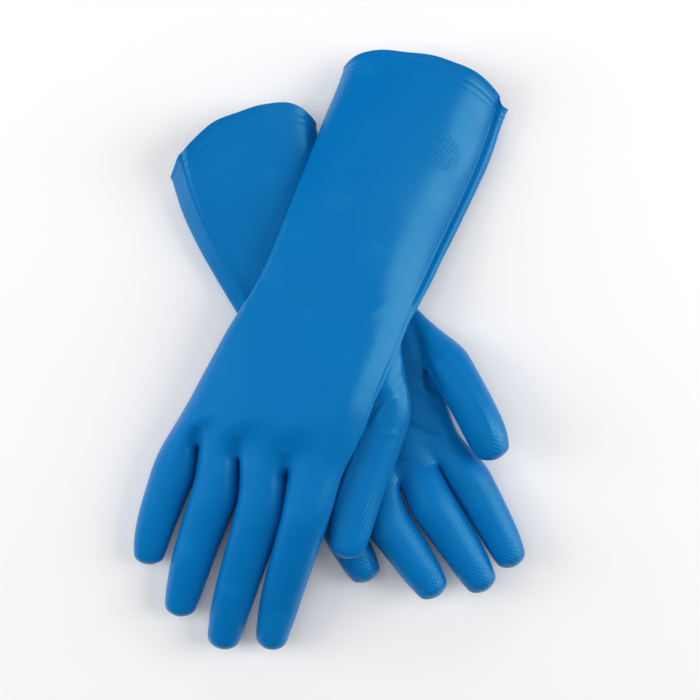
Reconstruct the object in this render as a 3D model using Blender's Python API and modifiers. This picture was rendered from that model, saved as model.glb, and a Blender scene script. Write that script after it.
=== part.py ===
"""A pair of long nitrile gauntlet gloves, one lying across the other on a flat surface.

The left glove lies palm up on the surface, and the right glove lies palm down across it.
Each glove is one piece of moulded film: an open sleeve that ends in a hand with five hollow
fingers. It is built as a coarse cage of rings, smoothed by Subdivision Surface and given the
wall of the film by Solidify.

Lengths below are in millimetres and become metres through MM. +Z is up, the cuffs point to +Y
and the fingers to -Y. On both gloves the little finger is on the -X side and the index finger
on the +X side.
"""
from collections import namedtuple
from math import cos, pi, sin

import bmesh
import bpy
from mathutils import Vector

MM = 0.001

# Driving dimensions
FILM = 0.5                       # wall of the film
PLAN_CENTRE = (-0.9, -0.9)       # middle of the pair's outline, moved to the origin
UP = Vector((0.0, 0.0, 1.0))

# A section of the sleeve and hand has nine columns on its top layer, nine on its bottom layer
# and one on each side fold. Even columns are the lines between fingers.
COLUMNS = (-0.90, -0.72, -0.50, -0.25, 0.0, 0.25, 0.50, 0.72, 0.90)
LAST = len(COLUMNS) - 1
INDEX_FOLD = LAST + 1
LITTLE_FOLD = 2 * LAST + 3
FULLNESS = 2.4                   # 2 is an ellipse, more is a flatter and squarer section
FINGER_RING = 8
RING_SHRINK = 0.902              # radius that Subdivision Surface leaves of an eight-sided ring

FOLD_LEAD = 0.22                 # share of the hem's lead that the side folds keep
FOLD_CREASE = 0.45
WEB_COLUMNS = (2, 4, 6)
VALLEY = 0.55                    # depth of the dips between the finger roots
TIP_RING_BACK = 0.38             # last ring's distance from the fingertip, of its half width
TIP_RING_WIDTH = 0.76
TIP_REACH = 0.12                 # cage point past the fingertip, which smoothing pulls back

# One section: its two side folds, their heights, how far the layers stand above and below
# the line between them, how far the top layer leads towards the hem, and the tuck's share.
Section = namedtuple("Section", "little index z_little z_index top bottom lead tuck")
# One finger: the points that its middle line passes, half its width at the first and last,
# and its height over its width.
Finger = namedtuple("Finger", "path wide narrow flat")
# The long pleat at one side of a sleeve: how far its upper edge, fold and lower edge move in
# across the section, the upper edge's share of the height, and the drop of fold and lower edge.
Pleat = namedtuple("Pleat", "edge_in edge_high fold_in fold_drop lip_in lip_drop")
# The hem's curve: how much of its lead is lost towards the tucked and the plain side, and the
# power of the place across at which that happens.
Hem = namedtuple("Hem", "tucked_drop tucked_power plain_drop plain_power")
Glove = namedtuple("Glove", "node sections webs fingers thumb web_shift pleat hem edge_lift "
                            "tuck_side palm_side")

RIGHT = Glove(
    "right_glove",
    (
        Section((7, 153), (100, 131), 12, 11, 16, 10, 19, 1.0),       # hem
        Section((-3, 129), (92, 104), 23, 9, 13, 7, 4, 1.0),
        Section((-16, 95), (78, 76), 29, 11, 12, 5, 0, 1.0),
        Section((-27, 67), (63, 46), 30, 16, 12, 4, 0, 1.0),
        Section((-39, 36), (50, 20), 28, 24, 11, 5, 0, 0.8),          # wrist
        Section((-51, 24), (39, 5), 24, 29, 12, 6, 0, 0.1),
        Section((-63, 2), (31, -12), 20, 33, 14, 7, 0, 0.0),
        Section((-73, -15), (24, -29), 17, 36, 14, 8, 0, 0.0),
        Section((-82, -31), (17, -48), 14, 37, 15, 8, -1, 0.0),
        Section((-90, -45), (10, -65), 12, 36, 15, 9, -1, 0.0),       # finger roots
    ),
    ((-76, -58, 8), (-53, -65, 11), (-24, -73, 17)),
    (
        Finger(((-85, -63, 13), (-94, -86, 12), (-101, -108, 11), (-102, -122, 10.5)), 12.2, 10.3, 0.86),
        Finger(((-61, -74, 19), (-73, -105, 15.5), (-82, -134, 12), (-85, -151, 11)), 13.0, 10.8, 0.86),
        Finger(((-36, -83, 26), (-47, -117, 20.5), (-57, -149, 13.5), (-61, -169, 11)), 13.4, 11.2, 0.86),
        Finger(((-10, -88, 33), (-21, -118, 26), (-30, -148, 15.5), (-34, -169, 11)), 12.8, 11.0, 0.86),
    ),
    Finger(((33, -27, 24.5), (25, -54, 25), (16, -80, 26.2), (11, -101, 27.8), (9, -116, 29)),
           15.0, 11.6, 0.54),
    0.22, Pleat(0.09, 0.50, 0.115, -2.5, -0.10, 1.5), Hem(0.80, 3.0, 0.62, 4.5), 2.0, 1, -1)

LEFT = Glove(
    "left_glove",
    (
        Section((-87, 92), (-6, 121), 10, 12, 17, 11, 23.5, 1.0),     # hem
        Section((-84, 74), (-1, 100), 9, 11, 14, 11, 6, 1.0),
        Section((-69, 48), (10, 80), 8, 9, 11, 10, 0, 1.0),
        Section((-54, 23), (22, 61), 8, 9, 9, 10, 0, 0.9),
        Section((-42, 2), (35, 41), 8, 9, 8, 10, 0, 0.5),             # wrist
        Section((-35, -15), (50, 24), 8, 9, 7, 10, 0, 0.0),
        Section((-28, -33), (58, 6), 8, 9, 6.5, 10, 0, 0.0),
        Section((-22, -49), (62, -13), 8, 10, 6.5, 10, 0, 0.0),
        Section((-16, -65), (67, -31), 8, 10, 7, 10, -2, 0.0),
        Section((-9, -80), (73, -47), 9, 11, 8.5, 9, -5, 0.0),        # finger roots
    ),
    ((14, -86, 6), (40, -80, 6.5), (63, -67, 6.5)),
    (
        Finger(((5, -97, 9.5), (12, -111, 9.5), (19, -123, 10), (23, -131, 11)), 11.5, 10.0, 0.84),
        Finger(((31, -95, 13.5), (43, -111, 15), (54, -127, 17.5), (61, -138, 20)), 12.6, 10.8, 0.86),
        Finger(((56, -84, 12.5), (68, -102, 13.5), (80, -121, 16), (88, -135, 19)), 12.9, 11.0, 0.86),
        Finger(((76, -68, 10.5), (87, -87, 11.5), (97, -107, 14), (104, -122, 17)), 11.8, 10.5, 0.86),
    ),
    Finger(((61, -7, 17), (71, -21, 21), (81, -37, 24), (88, -51, 25), (92, -62, 25)),
           15.0, 11.5, 0.80),
    -0.10, Pleat(0.13, 0.90, 0.0, -1.0, 0.0, 0.0), Hem(0.80, 2.3, 0.72, 7.0), 0.0, -1, 1)

# The thumb leaves the index side over these sections, which the mesh leaves open.
THUMB_SECTIONS = (5, 6, 7)

NITRILE_BLUE = (0.004, 0.175, 0.470, 1.0)
NITRILE_ROUGHNESS = 0.42


def layer_height(across):
    """Height of a layer at a place from -1 to 1 across the section, from 0 to 1."""
    return (1.0 - abs(across) ** FULLNESS) ** (1.0 / FULLNESS)


def smooth_step(low, high, value):
    """0 below low, 1 above high, and a soft ramp between."""
    share = min(max((value - low) / (high - low), 0.0), 1.0)
    return share * share * (3.0 - 2.0 * share)


def hem_lead(section, across, hem, tucked):
    """How far the top layer's hem leads its folds at a place across."""
    if tucked:
        return section.lead * (1.0 - hem.tucked_drop * abs(across) ** hem.tucked_power)
    return section.lead * (1.0 - hem.plain_drop * abs(across) ** hem.plain_power)


def section_points(glove, number):
    """The ring of one section: top layer, index fold, bottom layer, little-finger fold."""
    section, pleat = glove.sections[number], glove.pleat
    little, index = Vector(section.little), Vector(section.index)
    middle, half = (little + index) / 2, (index - little) / 2
    hemward = Vector((half.y, -half.x)).normalized() * (-1 if half.x > 0 else 1)
    z_middle = (section.z_index + section.z_little) / 2
    z_half = (section.z_index - section.z_little) / 2
    share = section.tuck * glove.tuck_side
    near_root = smooth_step(7.0, 9.0, number)
    valley = VALLEY * smooth_step(8.0, 9.0, number)
    edge_lift = glove.edge_lift * smooth_step(4.5, 6.0, number)

    def place(across, rise, lead):
        plan = middle + half * across + hemward * lead
        return Vector((plan.x, plan.y, max(z_middle + z_half * across + rise, 0.0)))

    def layer(height, is_top):
        points = []
        for column, across in enumerate(COLUMNS):
            tucked = across * glove.tuck_side > 0
            rise = height * layer_height(across)
            across -= glove.web_shift * near_root * (1.0 - across ** 2)
            if column in WEB_COLUMNS:
                rise *= 1.0 - valley
            if tucked and column in (0, LAST):
                if is_top:
                    across -= pleat.edge_in * share
                    rise += (pleat.edge_high * height - rise) * abs(share)
                else:
                    across -= pleat.lip_in * share
                    rise += (-pleat.lip_drop - rise) * abs(share) * (pleat.lip_in != 0.0)
            elif tucked and column in (1, LAST - 1):
                across -= (0.05 if is_top else -0.12) * share
            lead = section.lead * FOLD_LEAD
            if is_top:
                lead = hem_lead(section, across, glove.hem, tucked)
                if column == LAST:
                    rise -= edge_lift
            points.append(place(across, rise, lead))
        return points

    top = layer(section.top, True)
    bottom = layer(-section.bottom, False)
    folds = {}
    for side in (-1, 1):
        mine = abs(share) if side == glove.tuck_side else 0.0
        lift = edge_lift if side > 0 else 0.0
        folds[side] = place(side * (1.0 - pleat.fold_in * mine), lift - pleat.fold_drop * mine,
                            section.lead * FOLD_LEAD)
    return top + [folds[1]] + bottom[::-1] + [folds[-1]]


def finger_rings(finger, ring_angles):
    """Rings round a finger's middle line, and the point that closes its tip."""
    path = [Vector(point) for point in finger.path]
    tip_way = (path[-1] - path[-2]).normalized()
    stations = []
    for number, centre in enumerate(path[:-1]):
        share = number / (len(path) - 2)
        along = (path[number + 1] - path[max(number - 1, 0)]).normalized()
        stations.append((centre, along, finger.wide + (finger.narrow - finger.wide) * share))
    stations.append((path[-1] - tip_way * finger.narrow * TIP_RING_BACK, tip_way,
                     finger.narrow * TIP_RING_WIDTH))
    rings = []
    for centre, along, half_width in stations:
        across = UP.cross(along).normalized() * half_width / RING_SHRINK
        upward = along.cross(across) * finger.flat
        rings.append([centre + across * cos(angle) + upward * sin(angle) for angle in ring_angles])
    return rings, path[-1] + tip_way * finger.narrow * TIP_REACH


def add_finger(mesh, root_ring, finger, ring_angles):
    """Join a finger's rings to the eight vertices that its root stands on."""
    rings, tip = finger_rings(finger, ring_angles)
    previous = root_ring
    for ring in rings:
        current = [mesh.verts.new(point) for point in ring]
        for i in range(FINGER_RING):
            j = (i + 1) % FINGER_RING
            mesh.faces.new((previous[i], previous[j], current[j], current[i]))
        previous = current
    end = mesh.verts.new(tip)
    for i in range(0, FINGER_RING, 2):
        mesh.faces.new((previous[i], previous[i + 1], previous[(i + 2) % FINGER_RING], end))


def add_glove(glove, collection):
    """One glove as a cage of its film, smoothed and given a wall by modifiers."""
    name, palm_side = glove.node, glove.palm_side
    mesh = bmesh.new()
    rows = [[mesh.verts.new(point) for point in section_points(glove, number)]
            for number in range(len(glove.sections))]
    columns = len(rows[0])
    bottom_column = {column: 2 * LAST + 2 - column for column in range(LAST + 1)}

    # Sleeve and hand, open on the palm side of the index edge where the thumb leaves
    thumb_first, thumb_middle, thumb_last = THUMB_SECTIONS
    hole_top, hole_middle, hole_bottom = (INDEX_FOLD + step - palm_side for step in (-1, 0, 1))
    for number in range(len(rows) - 1):
        for column in range(columns):
            if thumb_first <= number < thumb_last and hole_top <= column < hole_bottom:
                continue
            after = (column + 1) % columns
            mesh.faces.new((rows[number][column], rows[number][after],
                            rows[number + 1][after], rows[number + 1][column]))
    mesh.verts.remove(rows[thumb_middle][hole_middle])

    # Four fingers, which share a web vertex between neighbours
    roots = rows[-1]
    web_verts = [mesh.verts.new(point) for point in glove.webs]
    between = [roots[LITTLE_FOLD]] + web_verts + [roots[INDEX_FOLD]]
    eighth = pi / 4
    finger_angles = [3 * eighth - eighth * i for i in range(FINGER_RING)]
    for number, finger in enumerate(glove.fingers):
        left, right = 2 * number, 2 * number + 2
        root_ring = [roots[left], roots[left + 1], roots[right], between[number + 1],
                     roots[bottom_column[right]], roots[bottom_column[left + 1]],
                     roots[bottom_column[left]], between[number]]
        add_finger(mesh, root_ring, finger, finger_angles)

    # Thumb, from the hem end of its opening round by the bottom layer
    first, middle, last = rows[thumb_first], rows[thumb_middle], rows[thumb_last]
    thumb_root = [first[hole_middle], first[hole_bottom], middle[hole_bottom], last[hole_bottom],
                  last[hole_middle], last[hole_top], middle[hole_top], first[hole_top]]
    thumb_angles = [-eighth * i for i in range(FINGER_RING)]
    add_finger(mesh, thumb_root, glove.thumb, thumb_angles)

    bmesh.ops.recalc_face_normals(mesh, faces=mesh.faces)
    crease = mesh.edges.layers.float.new("crease_edge")
    folds = {(rows[n][c], rows[n + 1][c]) for n in range(thumb_first)
             for c in (0, LAST, INDEX_FOLD, bottom_column[LAST], bottom_column[0], LITTLE_FOLD)}
    for edge in mesh.edges:
        if (edge.verts[0], edge.verts[1]) in folds or (edge.verts[1], edge.verts[0]) in folds:
            edge[crease] = FOLD_CREASE
    shift = Vector((-PLAN_CENTRE[0], -PLAN_CENTRE[1], 0.0))
    for vert in mesh.verts:
        vert.co = (vert.co + shift) * MM

    data = bpy.data.meshes.new(name)
    mesh.to_mesh(data)
    mesh.free()
    data.materials.append(film_material(name))
    body = bpy.data.objects.new(name, data)
    collection.objects.link(body)
    smooth = body.modifiers.new("smooth", "SUBSURF")
    smooth.levels = smooth.render_levels = 1
    wall = body.modifiers.new("wall", "SOLIDIFY")
    wall.thickness = FILM * MM
    wall.offset = -1.0
    wall.use_rim = True
    data.shade_smooth()
    return body


def film_material(name):
    """Opaque blue nitrile with a soft shine."""
    material = bpy.data.materials.new(name + "_film")
    material.use_nodes = True
    shader = material.node_tree.nodes["Principled BSDF"]
    shader.inputs["Base Color"].default_value = NITRILE_BLUE
    shader.inputs["Roughness"].default_value = NITRILE_ROUGHNESS
    shader.inputs["Metallic"].default_value = 0.0
    return material


def main():
    for item in list(bpy.data.objects):
        bpy.data.objects.remove(item)
    collection = bpy.data.collections.new("rubber_gloves")
    bpy.context.scene.collection.children.link(collection)
    add_glove(LEFT, collection)
    add_glove(RIGHT, collection)


main()
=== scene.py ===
"""The looks of a pair of long nitrile gauntlet gloves, one lying across the other.

Each glove is one piece of moulded film. Like its CAD solid it is built from sections and
finger lines, with the side pleat folded in. Here it is then subdivided, sculpted by moving its
vertices (hem bead, fold lines, fingertip pads, dents) and given the wall of the film.
Lengths in the tables are millimetres in the layout of the pair; MM turns them into metres.
"""
from collections import namedtuple
from math import cos, pi, radians, sin

import bmesh
import bpy
import numpy as np
from mathutils import Matrix, Vector, noise


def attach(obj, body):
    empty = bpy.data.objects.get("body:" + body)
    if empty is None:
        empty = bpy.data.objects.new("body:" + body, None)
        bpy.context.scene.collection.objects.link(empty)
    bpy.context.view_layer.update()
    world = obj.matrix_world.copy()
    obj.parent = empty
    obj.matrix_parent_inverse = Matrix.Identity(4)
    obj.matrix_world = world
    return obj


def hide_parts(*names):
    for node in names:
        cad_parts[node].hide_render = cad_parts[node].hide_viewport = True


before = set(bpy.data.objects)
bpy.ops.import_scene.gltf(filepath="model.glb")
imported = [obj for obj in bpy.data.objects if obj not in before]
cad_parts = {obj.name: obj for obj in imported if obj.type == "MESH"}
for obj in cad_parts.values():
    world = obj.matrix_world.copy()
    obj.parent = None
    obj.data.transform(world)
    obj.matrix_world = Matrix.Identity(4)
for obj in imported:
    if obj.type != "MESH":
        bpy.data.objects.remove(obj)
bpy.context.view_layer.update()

MM = 0.001

FILM = 0.45                      # thickness of the film
PLAN_CENTRE = (-0.9, -0.9)       # the frame's origin in the layout, as the CAD has it
UP = Vector((0.0, 0.0, 1.0))
SMOOTH_LEVELS = 3                # subdivisions of the cage

# Columns of one section of the sleeve and hand: nine on top, a fold, nine below, a fold
COLUMNS = (-0.90, -0.72, -0.50, -0.25, 0.0, 0.25, 0.50, 0.72, 0.90)
WEB_COLUMNS = (2, 4, 6)          # where the webs between the fingers start
LAST = len(COLUMNS) - 1
INDEX_FOLD = LAST + 1
LITTLE_FOLD = 2 * LAST + 3
FULLNESS = 2.4                   # power of a layer's arch, where 2 is an ellipse
FINGER_RING = 8                  # points of one ring of a finger
RING_SHRINK = 0.902              # how much subdivision draws such a ring in
ROOT_DIGIT = 0.15                # what a finger's first ring has of the "digit" mask
WEB_REACH = 6.0                  # how much farther from the hem a web counts than the last ring
FOLD_LEAD = 0.22                 # share of the hem's lead that the side folds keep
LOWER_SHOULDER_IN = -0.12        # move of the pleat's shoulder on the layer that lies below
VALLEY = 0.60                    # depth of the dips between the finger roots

RING_STEP = 0.5                  # rings of a finger, as a share of the way between its points
LAST_RING_BACK = 0.4             # one more ring before the tip's, in the same measure
TIP_RING_BACK = 0.38             # how far the tip's ring stands back from it, in half widths
TIP_RING_WIDTH = 0.76            # and that ring's own width, as a share of the finger's
TIP_REACH = 0.12                 # how far the closed end stands past the tip, in half widths

# Places of the rings along the sections, denser at the hem, and the three at the thumb
ROWS = (0.0, 0.035, 0.08, 0.16, 0.3, 0.6, 1.0, 1.5, 2.0, 2.5, 3.0, 3.5, 4.0, 4.5,
        5.0, 6.0, 7.0, 7.5, 8.0, 8.5, 9.0)
THUMB_ROWS = (5.0, 6.0, 7.0)

# Places between which these come in: the columns' shift, the dips, and the palm's raised edge
SHIFT_ROWS = (7.0, 9.0)
VALLEY_ROWS = (8.0, 9.0)
EDGE_LIFT_ROWS = (4.5, 6.0)

# How sharp these lines of the cage stay when it is subdivided
EDGE_CREASE = 0.75               # upper edge of the side pleat
FOLD_CREASE = 0.45               # its fold, and its lower edge where it has no lip
PLAIN_CREASE = 0.35              # fold of the other side, from the hem to PLAIN_CREASE_END
PLAIN_CREASE_END = 4.5
PALM_EDGE_CREASE = 1.0           # index side of a hand that lies palm down
PALM_EDGE_FADE = 0.8             # what that line loses by the finger roots

# One section across: its two ends in plan, their heights, how far the top and the bottom layer
# stand off the line between them, how far the hem leads, and how much the side is folded
Section = namedtuple("Section", "little index z_little z_index top bottom lead tuck")
# A finger: its middle line, its half width at the root and the tip, and its height's share of it
Finger = namedtuple("Finger", "path wide narrow flat")
# The long pleat at one side of a sleeve: how far its shoulder, upper edge, fold and lip move in
# across the section, what the shoulder keeps of its own height, what the edge keeps of the
# layer's, and how far the fold and the lip drop
Pleat = namedtuple("Pleat", "shoulder_in shoulder_high edge_in edge_high fold_in fold_drop "
                            "lip_in lip_drop")
# The hem's curve: how much of its lead is lost towards the tucked and the plain side, and the
# power of the place across at which that happens
Hem = namedtuple("Hem", "tucked_drop tucked_power plain_drop plain_power")
# web_shift moves the columns aside near the finger roots. edge_lift raises the index side's fold
# along the palm and sinks the column above it. tuck_side is 1 for a pleat at the index side and
# -1 at the little finger's, and palm_side is 1 for a palm that faces up and -1 for down.
Glove = namedtuple("Glove", "node sections webs fingers thumb web_shift pleat hem edge_lift "
                            "tuck_side palm_side")

RIGHT = Glove(
    node="right_glove",
    sections=(
        Section((7, 153), (100, 131), 12, 11, 16, 10, 19, 1.0),       # hem
        Section((-3, 129), (92, 104), 23, 9, 13, 7, 4, 1.0),
        Section((-16, 95), (78, 76), 29, 11, 12, 5, 0, 1.0),
        Section((-27, 67), (63, 46), 30, 16, 12, 4, 0, 1.0),
        Section((-39, 36), (50, 20), 28, 24, 11, 5, 0, 0.8),          # wrist
        Section((-51, 24), (39, 5), 24, 29, 12, 6, 0, 0.1),
        Section((-63, 2), (31, -12), 20, 33, 14, 7, 0, 0.0),
        Section((-73, -15), (24, -29), 17, 36, 14, 8, 0, 0.0),
        Section((-82, -31), (17, -48), 14, 37, 15, 8, -1, 0.0),
        Section((-90, -45), (10, -65), 12, 36, 15, 9, -1, 0.0),       # finger roots
    ),
    webs=((-73, -44, 10), (-50, -50, 13.5), (-22.5, -58, 19)),
    fingers=(
        Finger(((-85, -63, 13), (-94, -86, 12), (-101, -108, 11), (-102, -122, 10.5)),
               12.6, 10.3, 0.86),
        Finger(((-61, -74, 19), (-73, -105, 15.5), (-82, -134, 12), (-85, -151, 11)),
               13.6, 10.8, 0.86),
        Finger(((-36, -83, 26), (-47, -117, 20.5), (-57, -149, 13.5), (-61, -169, 11)),
               13.5, 11.2, 0.86),
        Finger(((-11.5, -87, 34), (-21.5, -118, 26), (-30, -148, 15.5), (-34, -169, 11)),
               12.9, 11.0, 0.86),
    ),
    thumb=Finger(((33, -27, 24.5), (25, -54, 25), (16, -80, 26.2), (11, -101, 27.8), (9, -116, 29)),
                 15.0, 11.6, 0.54),
    web_shift=0.22,
    pleat=Pleat(shoulder_in=-0.02, shoulder_high=0.66, edge_in=0.06, edge_high=0.12,
                fold_in=0.095, fold_drop=-3.0, lip_in=-0.105, lip_drop=0.5),
    hem=Hem(tucked_drop=0.80, tucked_power=3.0, plain_drop=0.55, plain_power=3.2),
    edge_lift=2.0, tuck_side=1, palm_side=-1)

LEFT = Glove(
    node="left_glove",
    sections=(
        Section((-87, 92), (-6, 121), 10, 12, 17, 11, 23.5, 1.0),     # hem
        Section((-84, 74), (-1, 100), 9, 11, 14, 11, 6, 1.0),
        Section((-69, 48), (10, 80), 8, 9, 11, 10, 0, 1.0),
        Section((-54, 23), (22, 61), 8, 9, 9, 10, 0, 0.9),
        Section((-42, 2), (35, 41), 8, 9, 8, 10, 0, 0.5),             # wrist
        Section((-35, -15), (51, 25), 8, 9, 6.5, 10, 0, 0.0),
        Section((-28, -33), (60, 8), 8, 9, 6, 10, 0, 0.0),
        Section((-22, -49), (62, -13), 8, 9, 6, 10, 0, 0.0),
        Section((-16, -65), (67, -31), 8, 10, 6.5, 10, -2, 0.0),
        Section((-9, -80), (73, -47), 9, 11, 8.5, 9, -5, 0.0),        # finger roots
    ),
    webs=((13, -83, 6), (38, -74, 6.5), (62, -65, 6.5)),
    fingers=(
        Finger(((5, -97, 9.5), (12, -111, 9.5), (19, -123, 10), (23, -131, 11)), 11.5, 10.0, 0.84),
        Finger(((31, -95, 13.5), (43, -111, 15), (54, -127, 17.5), (61, -138, 20)), 13.0, 10.8, 0.86),
        Finger(((56, -84, 12.5), (68, -102, 13.5), (80, -121, 16), (88, -135, 19)), 13.2, 11.0, 0.86),
        Finger(((76, -68, 10.5), (87, -87, 11.5), (97, -107, 14), (104, -122, 17)), 12.0, 10.5, 0.86),
    ),
    thumb=Finger(((63, -3, 17), (72.5, -19, 21), (82, -36.5, 24), (88.5, -51, 25), (92, -62, 25)),
                 12.4, 11.5, 0.86),
    web_shift=-0.10,
    pleat=Pleat(shoulder_in=0.05, shoulder_high=1.0, edge_in=0.13, edge_high=0.90,
                fold_in=0.0, fold_drop=-1.0, lip_in=0.0, lip_drop=0.0),
    hem=Hem(tucked_drop=0.80, tucked_power=2.3, plain_drop=0.72, plain_power=7.0),
    edge_lift=0.0, tuck_side=-1, palm_side=1)


def smooth_between(values, place):
    """Cubic B-spline over rows of numbers, which keeps the first and last row."""
    values = np.asarray(values, dtype=float)
    padded = np.vstack([2 * values[0] - values[1], values, 2 * values[-1] - values[-2]])
    start = min(int(place), len(values) - 2)
    f = place - start
    weights = np.array([(1 - f) ** 3, 3 * f ** 3 - 6 * f ** 2 + 4,
                        -3 * f ** 3 + 3 * f ** 2 + 3 * f + 1, f ** 3]) / 6
    return weights @ padded[start:start + 4]


def smooth_step(low, high, value):
    """0 below low, 1 above high, and a soft ramp between."""
    share = np.clip((value - low) / (high - low), 0.0, 1.0)
    return share * share * (3 - 2 * share)


def section_at(sections, place):
    """The section at a place between 0, the hem, and the number of the last one."""
    rows = [(*s.little, *s.index, s.z_little, s.z_index, s.top, s.bottom, s.lead, s.tuck)
            for s in sections]
    v = smooth_between(rows, place)
    return Section((v[0], v[1]), (v[2], v[3]), v[4], v[5], v[6], v[7], v[8], v[9])


def layer_height(across):
    """Height of a layer at a place from -1 to 1 across the section, from 0 to 1."""
    return max(1.0 - abs(across) ** FULLNESS, 0.0) ** (1.0 / FULLNESS)


def hem_lead(section, across, hem, tucked):
    """How far the top layer's hem leads its folds at a place across."""
    if tucked:
        return section.lead * (1.0 - hem.tucked_drop * abs(across) ** hem.tucked_power)
    return section.lead * (1.0 - hem.plain_drop * abs(across) ** hem.plain_power)


def section_ring(glove, place):
    """Points of one ring and, for each, its place across from -1 to 1 and its palm share."""
    section = section_at(glove.sections, place)
    little, index = Vector(section.little), Vector(section.index)
    middle, half = (little + index) / 2, (index - little) / 2
    hemward = Vector((half.y, -half.x)).normalized() * (-1 if half.x > 0 else 1)
    z_middle = (section.z_index + section.z_little) / 2
    z_half = (section.z_index - section.z_little) / 2
    pleat = glove.pleat
    share = min(section.tuck, 1.0) * glove.tuck_side
    shift = glove.web_shift * float(smooth_step(*SHIFT_ROWS, place))
    valley = VALLEY * float(smooth_step(*VALLEY_ROWS, place))
    edge_lift = glove.edge_lift * float(smooth_step(*EDGE_LIFT_ROWS, place))

    def put(across, rise, lead):
        plan = middle + half * across + hemward * lead
        return Vector((plan.x, plan.y, max(z_middle + z_half * across + rise, 0.0)))

    def layer(height, is_top):
        points = []
        for number, across in enumerate(COLUMNS):
            tucked = across * glove.tuck_side > 0
            rise = height * layer_height(across)
            across -= shift * (1.0 - across ** 2)
            if number in WEB_COLUMNS:
                rise *= 1.0 - valley
            if tucked and number in (0, LAST):
                if is_top:
                    across -= pleat.edge_in * share
                    rise += (pleat.edge_high * height - rise) * abs(share)
                elif pleat.lip_in:
                    across -= pleat.lip_in * share
                    rise += (-pleat.lip_drop - rise) * abs(share)
            elif tucked and number in (1, LAST - 1):
                across -= (pleat.shoulder_in if is_top else LOWER_SHOULDER_IN) * share
                if is_top:
                    rise *= 1.0 - (1.0 - pleat.shoulder_high) * abs(share)
            lead = section.lead * FOLD_LEAD
            if is_top:
                lead = hem_lead(section, across, glove.hem, tucked)
                if number == LAST:
                    rise -= edge_lift
            points.append(put(across, rise, lead))
        return points

    top = layer(section.top, True)
    bottom = layer(-section.bottom, False)
    folds = {}
    for side in (-1, 1):
        mine = abs(share) if side == glove.tuck_side else 0.0
        lift = edge_lift if side > 0 else 0.0
        folds[side] = put(side * (1.0 - pleat.fold_in * mine), lift - pleat.fold_drop * mine,
                          section.lead * FOLD_LEAD)
    points = top + [folds[1]] + bottom[::-1] + [folds[-1]]
    across = list(COLUMNS) + [1.0] + list(COLUMNS[::-1]) + [-1.0]
    top_is_palm = 1.0 if glove.palm_side > 0 else 0.0
    palm = [top_is_palm] * (LAST + 1) + [0.5] + [1.0 - top_is_palm] * (LAST + 1) + [0.5]
    return points, across, palm


def finger_stations(finger):
    """Middle points, directions and half widths of a finger's rings, and the point of its tip."""
    path = [Vector(point) for point in finger.path]
    tip_way = (path[-1] - path[-2]).normalized()
    rows = []
    for number, centre in enumerate(path[:-1]):
        share = number / (len(path) - 2)
        along = (path[number + 1] - path[max(number - 1, 0)]).normalized()
        rows.append((*centre, *along, finger.wide + (finger.narrow - finger.wide) * share))
    end = path[-1] - tip_way * finger.narrow * TIP_RING_BACK
    rows.append((*end, *tip_way, finger.narrow * TIP_RING_WIDTH))
    last = len(rows) - 1
    places = [RING_STEP * i for i in range(int((last - 1) / RING_STEP) + 1)]
    stations = []
    for place in places + [last - LAST_RING_BACK, last]:
        v = smooth_between(rows, place)
        stations.append((Vector(v[:3]), Vector(v[3:6]).normalized(), float(v[6])))
    return stations, path[-1] + tip_way * finger.narrow * TIP_REACH


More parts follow.
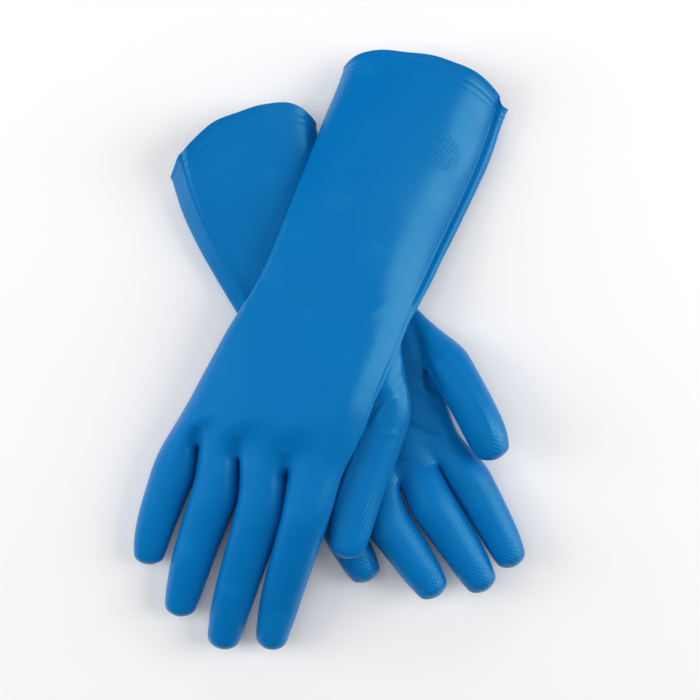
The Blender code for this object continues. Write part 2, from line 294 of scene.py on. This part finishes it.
class Cage:
    """The coarse quads of one glove, with what each vertex knows about its place."""

    def __init__(self, glove):
        self.glove = glove
        self.mesh = bmesh.new()
        layers = self.mesh.verts.layers.float
        self.reach = layers.new("reach")        # distance from the hem
        self.across = layers.new("across")      # -1 at the little finger's side, 1 at the index
        self.palm = layers.new("palm")          # 1 on the palm's layer, 0 on the back's
        self.digit = layers.new("digit")        # 0 on the sleeve and hand, 1 at a fingertip
        self.crease = self.mesh.edges.layers.float.new("crease_edge")

    def vert(self, point, reach, across, palm, digit):
        vert = self.mesh.verts.new(point)
        vert[self.reach] = reach
        vert[self.across] = across
        vert[self.palm] = palm
        vert[self.digit] = digit
        return vert

    def crease_line(self, rows, column, weights):
        """Sharpens the line of a column from ring to ring."""
        for upper, lower, weight in zip(rows, rows[1:], weights):
            if not (upper[column].is_valid and lower[column].is_valid):
                continue
            edge = self.mesh.edges.get((upper[column], lower[column]))
            if edge:
                edge[self.crease] = weight

    def add_sleeve(self):
        """The rings from the hem to the finger roots, open where the thumb leaves."""
        glove = self.glove
        rows = []
        travelled = 0.0
        before = None
        for place in ROWS:
            points, across, palm = section_ring(glove, place)
            section = section_at(glove.sections, place)
            middle = (Vector(section.little) + Vector(section.index)) / 2
            travelled += (middle - before).length if before else 0.0
            before = middle
            rows.append([self.vert(p, travelled, a, q, 0.0)
                         for p, a, q in zip(points, across, palm)])
        first, middle, last = (ROWS.index(place) for place in THUMB_ROWS)
        top, centre, bottom = (INDEX_FOLD + step - glove.palm_side for step in (-1, 0, 1))
        for number in range(len(rows) - 1):
            for column in range(len(rows[0])):
                if first <= number < last and top <= column < bottom:
                    continue
                after = (column + 1) % len(rows[0])
                self.mesh.faces.new((rows[number][column], rows[number][after],
                                     rows[number + 1][after], rows[number + 1][column]))
        thumb_root = [rows[first][centre], rows[first][bottom], rows[middle][bottom],
                      rows[last][bottom], rows[last][centre], rows[last][top],
                      rows[middle][top], rows[first][top]]
        self.mesh.verts.remove(rows[middle][centre])
        return rows, thumb_root, travelled

    def add_finger(self, root, finger, angles, reach, across):
        """Rings from a finger's root of eight vertices to its closed tip."""
        stations, tip = finger_stations(finger)
        previous = root
        before = stations[0][0]
        travelled = 0.0
        length = sum((b[0] - a[0]).length for a, b in zip(stations, stations[1:]))
        for centre, along, half_width in stations:
            travelled += (centre - before).length
            before = centre
            side = UP.cross(along).normalized() * half_width / RING_SHRINK
            upward = along.cross(side) * finger.flat
            share = ROOT_DIGIT + (1.0 - ROOT_DIGIT) * travelled / length
            ring = [self.vert(centre + side * cos(a) + upward * sin(a), reach + travelled, across,
                              0.5 + 0.5 * sin(a) * self.glove.palm_side, share) for a in angles]
            for i in range(FINGER_RING):
                j = (i + 1) % FINGER_RING
                self.mesh.faces.new((previous[i], previous[j], ring[j], ring[i]))
            previous = ring
        end = self.vert(tip, reach + travelled, across, 0.5, 1.0)
        for i in range(0, FINGER_RING, 2):
            self.mesh.faces.new((previous[i], previous[i + 1],
                                 previous[(i + 2) % FINGER_RING], end))

    def add_creases(self, rows, below):
        """Keeps the folds of both sides of the sleeve and the palm's edge crisp."""
        glove = self.glove
        tucks = [section_at(glove.sections, (a + b) / 2).tuck for a, b in zip(ROWS, ROWS[1:])]
        if glove.tuck_side > 0:
            edge, fold, plain_fold = LAST, INDEX_FOLD, LITTLE_FOLD
        else:
            edge, fold, plain_fold = 0, LITTLE_FOLD, INDEX_FOLD
        self.crease_line(rows, edge, [EDGE_CREASE * max(t, 0.0) for t in tucks])
        self.crease_line(rows, fold, [FOLD_CREASE * max(t, 0.0) for t in tucks])
        if not glove.pleat.lip_in:
            self.crease_line(rows, below[edge], [FOLD_CREASE * max(t, 0.0) for t in tucks])
        self.crease_line(rows, plain_fold, [PLAIN_CREASE] * ROWS.index(PLAIN_CREASE_END))
        if glove.palm_side < 0:
            hand = rows[ROWS.index(THUMB_ROWS[0]) - 1:]
            count = len(hand) - 1
            self.crease_line(hand, INDEX_FOLD, [PALM_EDGE_CREASE - PALM_EDGE_FADE * i / count
                                                for i in range(count)])

    def build(self):
        """The whole cage as a mesh in millimetres."""
        glove = self.glove
        rows, thumb_root, length = self.add_sleeve()
        roots = rows[-1]
        # the lower layer's column under each of the upper layer's
        below = {column: 2 * LAST + 2 - column for column in range(LAST + 1)}
        webs = [self.vert(point, length + WEB_REACH, COLUMNS[column], 0.5, 0.0)
                for point, column in zip(glove.webs, WEB_COLUMNS)]
        between = [roots[LITTLE_FOLD]] + webs + [roots[INDEX_FOLD]]
        eighth = 2 * pi / FINGER_RING
        angles = [3 * eighth - eighth * i for i in range(FINGER_RING)]
        for number, finger in enumerate(glove.fingers):
            left, right = 2 * number, 2 * number + 2
            root = [roots[left], roots[left + 1], roots[right], between[number + 1],
                    roots[below[right]], roots[below[left + 1]], roots[below[left]],
                    between[number]]
            self.add_finger(root, finger, angles, length, COLUMNS[left + 1])
        thumb_angles = [-eighth * i for i in range(FINGER_RING)]
        reach = rows[ROWS.index(THUMB_ROWS[1])][0][self.reach]
        self.add_finger(thumb_root, glove.thumb, thumb_angles, reach, 1.0)
        self.add_creases(rows, below)
        bmesh.ops.recalc_face_normals(self.mesh, faces=self.mesh.faces)
        for vert in self.mesh.verts:
            vert.co.x -= PLAN_CENTRE[0]
            vert.co.y -= PLAN_CENTRE[1]
        data = bpy.data.meshes.new(glove.node + "_cage")
        self.mesh.to_mesh(data)
        self.mesh.free()
        return data


def subdivided(data):
    """The smooth surface of a cage as a new mesh."""
    cage = bpy.data.objects.new("cage", data)
    bpy.context.scene.collection.objects.link(cage)
    smooth = cage.modifiers.new("smooth", "SUBSURF")
    smooth.levels = SMOOTH_LEVELS
    depsgraph = bpy.context.evaluated_depsgraph_get()
    fine = bpy.data.meshes.new_from_object(cage.evaluated_get(depsgraph))
    bpy.data.objects.remove(cage)
    return fine


class Surface:
    """The fine surface of one glove as arrays: places in millimetres, normals and attributes."""

    def __init__(self, data):
        self.data = data
        self.count = len(data.vertices)
        self.place = np.empty(self.count * 3)
        data.vertices.foreach_get("co", self.place)
        self.place = self.place.reshape(-1, 3)
        self.refresh()

    def refresh(self):
        """Writes the places to the mesh and reads its normals again."""
        self.data.vertices.foreach_set("co", self.place.ravel())
        self.data.update()
        normals = np.empty(self.count * 3)
        self.data.vertex_normals.foreach_get("vector", normals)
        self.normal = normals.reshape(-1, 3)

    def get(self, name):
        values = np.empty(self.count)
        self.data.attributes[name].data.foreach_get("value", values)
        return values

    def put(self, name, values):
        if name not in self.data.attributes:
            self.data.attributes.new(name, "FLOAT", "POINT")
        self.data.attributes[name].data.foreach_set("value", np.clip(values, 0.0, 1.0))

    def push(self, amount):
        """Moves each vertex along its normal, in millimetres."""
        self.place += self.normal * np.asarray(amount)[:, None]


def distance_to_line(places, points):
    """Level distance from each place to a line through points, and the share along it."""
    plan = places[:, :2]
    best = np.full(len(plan), np.inf)
    share = np.zeros(len(plan))
    for number, (a, b) in enumerate(zip(points, points[1:])):
        a, b = np.array(a, dtype=float), np.array(b, dtype=float)
        along = np.clip(((plan - a) @ (b - a)) / ((b - a) @ (b - a)), 0.0, 1.0)
        gap = np.linalg.norm(plan - (a + along[:, None] * (b - a)), axis=1)
        nearer = gap < best
        best[nearer] = gap[nearer]
        share[nearer] = (number + along[nearer]) / (len(points) - 1)
    return best, share


def soft_noise(places, size, seed):
    """Smooth noise from about -1 to 1 with features of that size in millimetres."""
    offset = Vector((seed * 17.3, seed * 5.1, seed * 9.7))
    return np.array([noise.noise(Vector(p) / size + offset) for p in places])


# Fold lines and dents: points of the line, height, half width, and the least height of the
# surface that it marks. A line fades out towards both ends.
Mark = namedtuple("Mark", "points height width above")
RIGHT_MARKS = (
    # edge of the palm, a fine raised line from the wrist to the index finger
    Mark(((47, 24), (39, 6), (31, -12), (23, -32), (14, -55), (6, -77), (-1, -96)), 0.8, 1.3, 24),
    # grooves across the webs between the fingers
    Mark(((-71, -42), (-73, -48), (-76, -57)), -1.5, 3.0, 14),
    Mark(((-48, -47), (-50, -53), (-53, -63)), -1.5, 3.0, 18),
    Mark(((-22.5, -56), (-23.5, -62), (-25.5, -73)), -1.5, 3.0, 22),
    # creases of the thumb's web
    Mark(((43, -18), (35, -25), (28, -33), (22, -44)), 1.5, 1.5, 22),
    Mark(((45, -8), (40, -16), (36, -27)), -1.2, 2.6, 22),
    Mark(((37, -45), (31, -46), (25, -46)), 0.5, 1.0, 22),
    # kink where the sleeve meets the hand
    Mark(((-37, 39), (-41, 30), (-48, 22)), 0.7, 1.6, 12),
    Mark(((-30, 38), (-37, 27), (-42, 16)), -0.6, 3.5, 12),
    Mark(((49, 34), (38, 30), (27, 22), (18, 18)), 0.25, 2.6, 20),
    Mark(((52, 22), (43, 19), (33, 10), (26, 4)), -0.35, 3.5, 20),
)
LEFT_MARKS = (
    # ridge of the thumb's outer side
    Mark(((50, 12), (62, 0), (74, -16), (84, -33), (91, -50)), 0.7, 1.5, 10),
    # creases of the thumb's root and of the palm
    Mark(((44, 22), (47, 12), (51, -4), (56, -17), (62, -29)), -2.2, 3.0, 6),
    Mark(((46, -20), (56, -24), (66, -30)), 0.7, 2.0, 6),
    Mark(((30, -40), (44, -42), (58, -48), (66, -52)), -0.9, 2.6, 6),
    Mark(((18, -56), (34, -62), (50, -64), (60, -66)), -0.8, 2.6, 6),
)

MARK_FADE = 0.18                 # share of a line over which each of its ends fades
MARK_DEPTH = 3.0                 # how far below its least height a mark still shows
MARK_FACING = (-0.05, 0.35)      # how far up the surface faces where marks come in

BEAD = 0.42                      # how far the hem's bead stands proud
BEAD_WIDTH = 1.5
FLARE = 0.7                      # how far the last of the sleeve opens out
FLARE_LENGTH = 9.0
HEM_LINES = (4.0, 6.4)           # distance of the fine raised lines from the hem
HEM_LINE_HEIGHT, HEM_LINE_WIDTH = 0.2, 0.5
# Waves of the hem's line: height, and its turn in radians across a half width and for a seed
HEM_WAVES = ((0.8, 5.0, 1.0), (0.5, 11.0, 2.0))
WAVE_UP, WAVE_UP_LENGTH = 0.5, 30.0      # what they do to its height, fading over a length,
WAVE_OUT, WAVE_OUT_LENGTH = 0.45, 22.0   # and to its reach

PAD_BACK = 10.5                  # a fingertip pad's middle, from the tip
PAD_HALF_LENGTH, PAD_HALF_WIDTH = 8.5, 5.6
PAD_DEPTH = 16.0                 # how far palmward of that middle the pad is looked for
PAD_HEIGHT = 0.45
PAD_RIM = (0.82, 1.08)           # where a pad's edge fades, in shares of its half size
PATCH_PLACE = (63, 108)          # round grip patch on the back of the right cuff
PATCH_RADIUS = 11.0
PATCH_RIM = (0.8, 1.0)
PATCH_FACING = 0.3               # how far up the film has to face to carry the patch
DOTS_LINE = ((23, -82), (21, -96))   # strip of grip dots down the side of the right thumb
DOTS_HALF_WIDTH = 4.5
DOTS_RIM = (0.5, 1.0)
ON_DIGIT = 0.3                   # "digit" mask from which a vertex is on a finger or thumb

GRIP_FROM_HEM = (150.0, 185.0)   # where the grip ridges come in along the glove
GRIP_PALM = (0.42, 0.72)         # and from the back to the palm
# Unevenness of the film: height and size of its slow swells, on the sleeve and hand, and of
# its ripples, which are everywhere
SWELL_HEIGHT, SWELL_SIZE = 0.55, 42.0
SWELL_FROM_HEM = (10.0, 40.0)
RIPPLE_HEIGHT, RIPPLE_SIZE = 0.22, 17.0


def shape_hem(surface, reach, across, seed):
    """Opens the hem a little, rolls its bead, and lets its line wander."""
    flare = np.clip(1.0 - reach / FLARE_LENGTH, 0.0, 1.0) ** 2
    bead = np.exp(-(reach / BEAD_WIDTH) ** 2)
    lines = sum(np.exp(-((reach - line) / HEM_LINE_WIDTH) ** 2) for line in HEM_LINES)
    wander = sum(height * np.sin(across * turn + seed * seed_turn)
                 for height, turn, seed_turn in HEM_WAVES)
    surface.push(FLARE * flare + BEAD * bead + HEM_LINE_HEIGHT * lines)
    surface.place[:, 2] += WAVE_UP * wander * np.clip(1.0 - reach / WAVE_UP_LENGTH, 0.0, 1.0)
    surface.place[:, 1] += WAVE_OUT * wander * np.clip(1.0 - reach / WAVE_OUT_LENGTH, 0.0, 1.0)


def press_marks(surface, marks):
    """Raises or sinks the surface along each fold line, on the side that faces up."""
    facing = smooth_step(*MARK_FACING, surface.normal[:, 2])
    amount = np.zeros(surface.count)
    layout = surface.place + np.array([*PLAN_CENTRE, 0.0])
    for mark in marks:
        gap, share = distance_to_line(layout, mark.points)
        ends = smooth_step(0.0, MARK_FADE, share) * smooth_step(0.0, MARK_FADE, 1.0 - share)
        high = smooth_step(mark.above - MARK_DEPTH, mark.above, surface.place[:, 2])
        amount += mark.height * np.exp(-(gap / mark.width) ** 2) * ends * facing * high
    surface.push(amount)


def shape_pads(surface, glove):
    """Raises an oval pad on the palm side of each fingertip and returns its mask."""
    mask = np.zeros(surface.count)
    shift = Vector((-PLAN_CENTRE[0], -PLAN_CENTRE[1], 0.0))
    for finger in (*glove.fingers, glove.thumb):
        tip, before = Vector(finger.path[-1]), Vector(finger.path[-2])
        along = (tip - before).normalized()
        side = UP.cross(along).normalized()
        palmward = along.cross(side) * glove.palm_side
        middle = tip + shift - along * PAD_BACK
        offset = surface.place - np.array(middle)
        length = offset @ np.array(along) / PAD_HALF_LENGTH
        width = offset @ np.array(side) / PAD_HALF_WIDTH
        depth = offset @ np.array(palmward)
        oval = 1.0 - smooth_step(*PAD_RIM, np.hypot(length, width))
        near = (depth > 0.0) & (depth < PAD_DEPTH)
        mask = np.maximum(mask, np.where(near, oval, 0.0))
    surface.push(PAD_HEIGHT * mask)
    return mask


def sculpt(data, glove, marks, seed):
    """Turns the smooth surface into a used-looking moulded glove."""
    surface = Surface(data)
    reach, across = surface.get("reach"), surface.get("across")
    palm, digit = surface.get("palm"), surface.get("digit")

    shape_hem(surface, reach, across, seed)
    surface.refresh()
    press_marks(surface, marks)
    surface.refresh()
    pads = shape_pads(surface, glove)
    surface.refresh()
    body = smooth_step(*SWELL_FROM_HEM, reach) * (1.0 - smooth_step(0.0, ON_DIGIT, digit))
    surface.push(SWELL_HEIGHT * soft_noise(surface.place, SWELL_SIZE, seed) * body
                 + RIPPLE_HEIGHT * soft_noise(surface.place, RIPPLE_SIZE, seed + 3))
    np.maximum(surface.place[:, 2], 0.0, out=surface.place[:, 2])

    hand = smooth_step(*GRIP_FROM_HEM, reach)
    surface.put("grip", smooth_step(*GRIP_PALM, palm) * hand * (1.0 - pads))
    layout = surface.place + np.array([*PLAN_CENTRE, 0.0])
    dots = np.zeros(surface.count)
    if glove.palm_side < 0:
        gap = distance_to_line(layout, DOTS_LINE)[0] / DOTS_HALF_WIDTH
        dots = (1.0 - smooth_step(*DOTS_RIM, gap)) * (digit > ON_DIGIT)
    surface.put("pad", np.maximum(pads, dots))
    gap = np.hypot(layout[:, 0] - PATCH_PLACE[0], layout[:, 1] - PATCH_PLACE[1]) / PATCH_RADIUS
    on_back = (surface.normal[:, 2] > PATCH_FACING) & (glove.palm_side < 0)
    surface.put("patch", np.where(on_back, 1.0 - smooth_step(*PATCH_RIM, gap), 0.0))
    surface.refresh()


class Nodes:
    """Short ways to add shader nodes and join them."""

    def __init__(self, tree):
        self.tree = tree

    def add(self, kind, **settings):
        node = self.tree.nodes.new(kind)
        for name, value in settings.items():
            setattr(node, name, value)
        return node

    def plug(self, value, socket):
        if isinstance(value, bpy.types.NodeSocket):
            self.tree.links.new(value, socket)
        else:
            socket.default_value = value

    def math(self, operation, *values):
        node = self.add("ShaderNodeMath", operation=operation)
        for value, socket in zip(values, node.inputs):
            self.plug(value, socket)
        return node.outputs[0]

    def mask(self, name):
        return self.add("ShaderNodeAttribute", attribute_name=name).outputs["Fac"]

    def mix_colour(self, factor, a, b):
        node = self.add("ShaderNodeMix", data_type="RGBA")
        self.plug(factor, node.inputs[0])
        self.plug(a, node.inputs[6])
        self.plug(b, node.inputs[7])
        return node.outputs[2]

    def ridges(self, place, angle, pitch, lean):
        """Fine parallel ridges, 0 to 1, across that level angle and leaning in height."""
        turn = 2 * pi / (pitch * MM)
        way = (turn * cos(radians(angle)), turn * sin(radians(angle)), turn * lean)
        dot = self.add("ShaderNodeVectorMath", operation="DOT_PRODUCT")
        self.plug(place, dot.inputs[0])
        self.plug(way, dot.inputs[1])
        wave = self.math("SINE", dot.outputs["Value"])
        return self.math("MULTIPLY_ADD", wave, 0.5, 0.5)

    def studs(self, place, angle, pitch, lean):
        """Rows of dots, 0 to 1, where two sets of ridges cross at right angles."""
        return self.math("MULTIPLY", self.ridges(place, angle, pitch, lean),
                         self.ridges(place, angle + 90.0, pitch, -lean))

    def noise(self, place, scale, detail=2.0):
        node = self.add("ShaderNodeTexNoise")
        self.plug(place, node.inputs["Vector"])
        node.inputs["Scale"].default_value = scale
        node.inputs["Detail"].default_value = detail
        return node.outputs["Fac"]


BLUE = (0.0006, 0.160, 0.455, 1.0)
DEEP_BLUE = (0.0006, 0.142, 0.420, 1.0)
PALE_BLUE = (0.010, 0.215, 0.520, 1.0)
SHINE_TINT = (0.34, 1.0, 0.90, 1.0)
SHINE_LEVEL = 0.40
ROUGHNESS, ROUGHNESS_CHANGE = 0.28, 0.10

# Scales of the noise textures, in features per metre
CLOUD_SCALE, CLOUD_DETAIL = 28.0, 3.0
SPOT_SCALE = 55.0
SHINE_SCALE = 60.0
GRAIN_SCALE = 900.0
SPOT_FROM = 0.74                 # noise from which the film has one of its few paler spots
SPOT_PALENESS = 0.18

# Moulded patterns: angle from the hand's direction in degrees, pitch in millimetres, and lean
ROPE = (42.0, 1.45, 0.2)         # grip ridges of the palm and fingers
DIAMOND = (-45.0, 1.9, 0.4)      # dots of the fingertip pads and the thumb's strip
PATCH = (-40.0, 1.7, 0.0)        # dots of the round patch on the cuff
ROPE_HEIGHT = 0.30               # heights as shares of RELIEF
GRAIN_HEIGHT = 0.10
RELIEF = 0.25
RELIEF_STRENGTH = 0.8


def film_material(name, hand_angle):
    """Blue nitrile film: cloudy colour, a soft shine, and the moulded grip patterns.

    hand_angle is the way the fingers point, in degrees from the X axis.
    """
    material = bpy.data.materials.new(name)
    material.use_nodes = True
    nodes = Nodes(material.node_tree)
    shader = material.node_tree.nodes["Principled BSDF"]
    place = nodes.add("ShaderNodeTexCoord").outputs["Object"]

    cloud = nodes.noise(place, CLOUD_SCALE, CLOUD_DETAIL)
    colour = nodes.mix_colour(cloud, DEEP_BLUE, BLUE)
    spot = nodes.math("GREATER_THAN", nodes.noise(place, SPOT_SCALE, 0.0), SPOT_FROM)
    colour = nodes.mix_colour(nodes.math("MULTIPLY", spot, SPOT_PALENESS), colour, PALE_BLUE)
    nodes.plug(colour, shader.inputs["Base Color"])
    roughness = nodes.math("MULTIPLY_ADD", nodes.noise(place, SHINE_SCALE), ROUGHNESS_CHANGE,
                           ROUGHNESS)
    nodes.plug(roughness, shader.inputs["Roughness"])
    shader.inputs["Specular IOR Level"].default_value = SHINE_LEVEL
    shader.inputs["Specular Tint"].default_value = SHINE_TINT

    def turned(pattern):
        """A pattern's angle, pitch and lean, with the angle from the X axis."""
        return (hand_angle + pattern[0], *pattern[1:])

    patterns = {"grip": nodes.math("MULTIPLY", nodes.ridges(place, *turned(ROPE)), ROPE_HEIGHT),
                "pad": nodes.studs(place, *turned(DIAMOND)),
                "patch": nodes.studs(place, *turned(PATCH))}
    height = nodes.math("MULTIPLY", nodes.noise(place, GRAIN_SCALE), GRAIN_HEIGHT)
    for mask, pattern in patterns.items():
        height = nodes.math("MULTIPLY_ADD", pattern, nodes.mask(mask), height)
    bump = nodes.add("ShaderNodeBump")
    bump.inputs["Strength"].default_value = RELIEF_STRENGTH
    bump.inputs["Distance"].default_value = RELIEF * MM
    nodes.plug(height, bump.inputs["Height"])
    nodes.plug(bump.outputs["Normal"], shader.inputs["Normal"])
    return material


def make_glove(glove, marks, hand_angle, seed):
    """The finished glove, riding on its body in place of its CAD solid."""
    data = subdivided(Cage(glove).build())
    sculpt(data, glove, marks, seed)
    data.transform(Matrix.Scale(MM, 4))
    data.name = glove.node + "_film"
    data.materials.clear()
    data.materials.append(film_material(glove.node + "_nitrile", hand_angle))
    data.shade_smooth()
    piece = bpy.data.objects.new(glove.node + "_film", data)
    bpy.context.scene.collection.objects.link(piece)
    wall = piece.modifiers.new("wall", "SOLIDIFY")
    wall.thickness = FILM * MM
    wall.offset = -1.0
    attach(piece, glove.node)
    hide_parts(glove.node)


# Soft rectangular lamps, in metres and watts, and whether the film mirrors them
Softbox = namedtuple("Softbox", "name place size power in_reflections")
SOFTBOXES = (
    Softbox("top_softbox", (-0.25, 0.05, 1.6), (1.4, 1.4), 10.0, False),
    Softbox("left_softbox", (-1.25, 0.1, 0.55), (0.7, 1.4), 14.0, False),
    Softbox("right_softbox", (1.20, 0.1, 0.68), (0.7, 1.4), 15.0, True),
    Softbox("far_softbox", (0.0, 1.3, 0.55), (1.6, 0.5), 5.0, False),
)
FLOOR_SIZE = 6.0
FLOOR_DROP = 0.0004              # keeps the floor's plane clear of the film that rests on it
FLOOR_COLOUR = (0.92, 0.92, 0.92, 1.0)
FLOOR_ROUGHNESS = 0.9
FLOOR_SHINE = 0.1
WORLD_COLOUR = (0.95, 0.97, 1.0, 1.0)
WORLD_STRENGTH = 0.10


def add_softbox(softbox):
    """A soft rectangular lamp that faces the pair of gloves."""
    light = bpy.data.lights.new(softbox.name, "AREA")
    light.shape = "RECTANGLE"
    light.size, light.size_y = softbox.size
    light.energy = softbox.power
    lamp = bpy.data.objects.new(softbox.name, light)
    lamp.location = softbox.place
    lamp.rotation_mode = "QUATERNION"
    lamp.rotation_quaternion = (-Vector(softbox.place)).to_track_quat("-Z", "Y")
    lamp.visible_glossy = softbox.in_reflections
    bpy.context.scene.collection.objects.link(lamp)


def add_floor():
    """A plain pale floor under the pair."""
    bpy.ops.mesh.primitive_plane_add(size=FLOOR_SIZE, location=(0, 0, -FLOOR_DROP))
    floor = bpy.context.object
    floor.name = "floor"
    material = bpy.data.materials.new("pale_floor")
    material.use_nodes = True
    shader = material.node_tree.nodes["Principled BSDF"]
    shader.inputs["Base Color"].default_value = FLOOR_COLOUR
    shader.inputs["Roughness"].default_value = FLOOR_ROUGHNESS
    shader.inputs["Specular IOR Level"].default_value = FLOOR_SHINE
    floor.data.materials.append(material)


def add_studio():
    """The floor, soft light from above, both sides and the far end, and a dim pale world."""
    add_floor()
    for softbox in SOFTBOXES:
        add_softbox(softbox)
    world = bpy.data.worlds.new("studio")
    world.use_nodes = True
    background = world.node_tree.nodes["Background"]
    background.inputs["Color"].default_value = WORLD_COLOUR
    background.inputs["Strength"].default_value = WORLD_STRENGTH
    bpy.context.scene.world = world
    bpy.context.scene.view_settings.view_transform = "Standard"


CAMERA_HEIGHT = 0.700
CAMERA_ASIDE = 0.0114            # how far the view's middle is to +X of the layout's zero
VIEW_WIDTH = 0.3794              # width of the view at VIEW_LEVEL above the floor
VIEW_LEVEL = 0.035


def add_camera():
    """A camera straight above the pair, with the cuffs at the top of its view."""
    data = bpy.data.cameras.new("camera")
    data.lens = data.sensor_width * (CAMERA_HEIGHT - VIEW_LEVEL) / VIEW_WIDTH
    camera = bpy.data.objects.new("camera", data)
    camera.location = (CAMERA_ASIDE - PLAN_CENTRE[0] * MM, -PLAN_CENTRE[1] * MM, CAMERA_HEIGHT)
    bpy.context.scene.collection.objects.link(camera)
    bpy.context.scene.camera = camera


make_glove(LEFT, LEFT_MARKS, hand_angle=-62.0, seed=2)
make_glove(RIGHT, RIGHT_MARKS, hand_angle=-109.0, seed=1)
add_studio()
add_camera()
